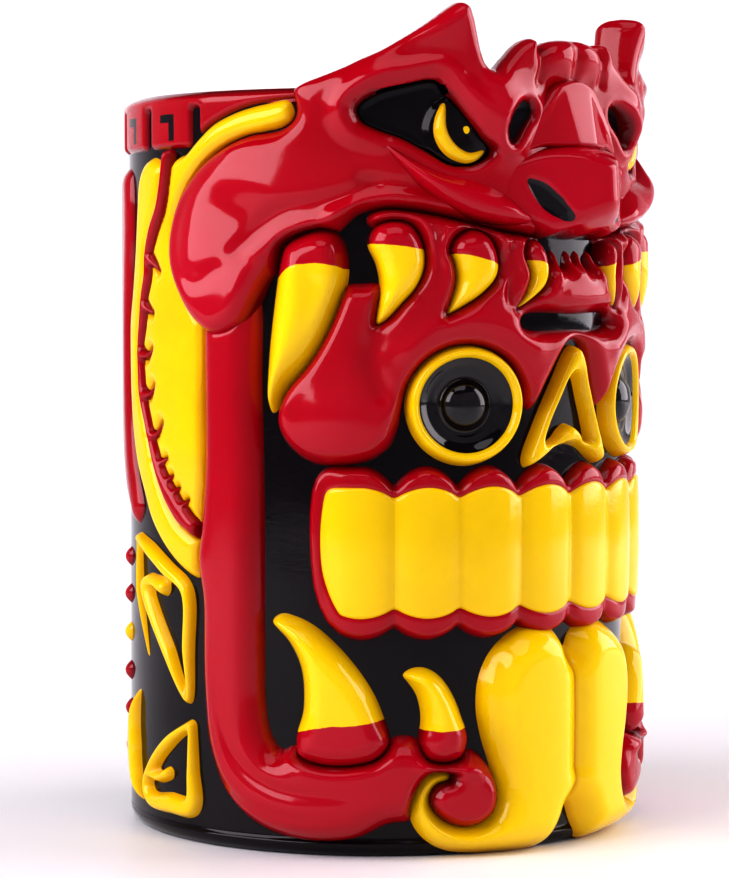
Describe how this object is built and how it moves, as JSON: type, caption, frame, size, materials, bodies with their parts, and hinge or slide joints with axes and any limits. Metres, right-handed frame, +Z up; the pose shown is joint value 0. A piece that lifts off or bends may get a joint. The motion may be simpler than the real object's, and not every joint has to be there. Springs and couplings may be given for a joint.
{
  "type": "tiki mug",
  "caption": "Tall straight ceramic drinking mug; raised relief of a horned beast's open jaws framing a grinning skull, in glossy red, yellow and black.",
  "frame": {"origin": "centre of the flat foot the mug stands on", "axes": "+Z up along the cup's axis, the face looks towards -Y, +X is the face's own left side"},
  "size_m": [0.096, 0.1045, 0.1452],
  "materials": {
    "red_glaze": "gloss crimson glaze, darker where it pools",
    "yellow_glaze": "gloss yellow glaze, thinner and paler on high edges",
    "black_glaze": "gloss black glaze"
  },
  "bodies": {
    "root": {"back_plume": "yellow_glaze", "beast_head": "red_glaze", "cup": "black_glaze", "forehead_crest": "red_glaze", "gum": "red_glaze", "left_beads": "red_glaze", "left_brow_hollow": "black_glaze", "left_cheek_fold": "red_glaze", "left_ear": "red_glaze", "left_eye_crescent": "yellow_glaze", "left_eye_ring": "yellow_glaze", "left_eye_socket": "black_glaze", "left_eyeball": "black_glaze", "left_frill": "yellow_glaze", "left_frill_spine": "red_glaze", "left_jaw": "red_glaze", "left_lower_fang_1": "yellow_glaze", "left_lower_fang_2": "yellow_glaze", "left_lower_fret": "yellow_glaze", "left_side_plume": "red_glaze", "left_tongue": "yellow_glaze", "left_upper_fang_1": "yellow_glaze", "left_upper_fang_2": "yellow_glaze", "left_upper_fang_3": "yellow_glaze", "left_upper_fang_4": "yellow_glaze", "left_upper_fret": "yellow_glaze", "muzzle": "red_glaze", "nose_bridge": "red_glaze", "nose_frame": "yellow_glaze", "right_beads": "red_glaze", "right_brow_hollow": "black_glaze", "right_cheek_fold": "red_glaze", "right_ear": "red_glaze", "right_eye_crescent": "yellow_glaze", "right_eye_ring": "yellow_glaze", "right_eye_socket": "black_glaze", "right_eyeball": "black_glaze", "right_frill": "yellow_glaze", "right_frill_spine": "red_glaze", "right_jaw": "red_glaze", "right_lower_fang_1": "yellow_glaze", "right_lower_fang_2": "yellow_glaze", "right_lower_fret": "yellow_glaze", "right_side_plume": "red_glaze", "right_tongue": "yellow_glaze", "right_upper_fang_1": "yellow_glaze", "right_upper_fang_2": "yellow_glaze", "right_upper_fang_3": "yellow_glaze", "right_upper_fang_4": "yellow_glaze", "right_upper_fret": "yellow_glaze", "rim_band": "red_glaze", "skull_brow": "red_glaze", "skull_tooth_1": "yellow_glaze", "skull_tooth_2": "yellow_glaze", "skull_tooth_3": "yellow_glaze", "skull_tooth_4": "yellow_glaze", "skull_tooth_5": "yellow_glaze", "skull_tooth_6": "yellow_glaze", "skull_tooth_7": "yellow_glaze", "skull_tooth_8": "yellow_glaze"}
  },
  "joints": []
}
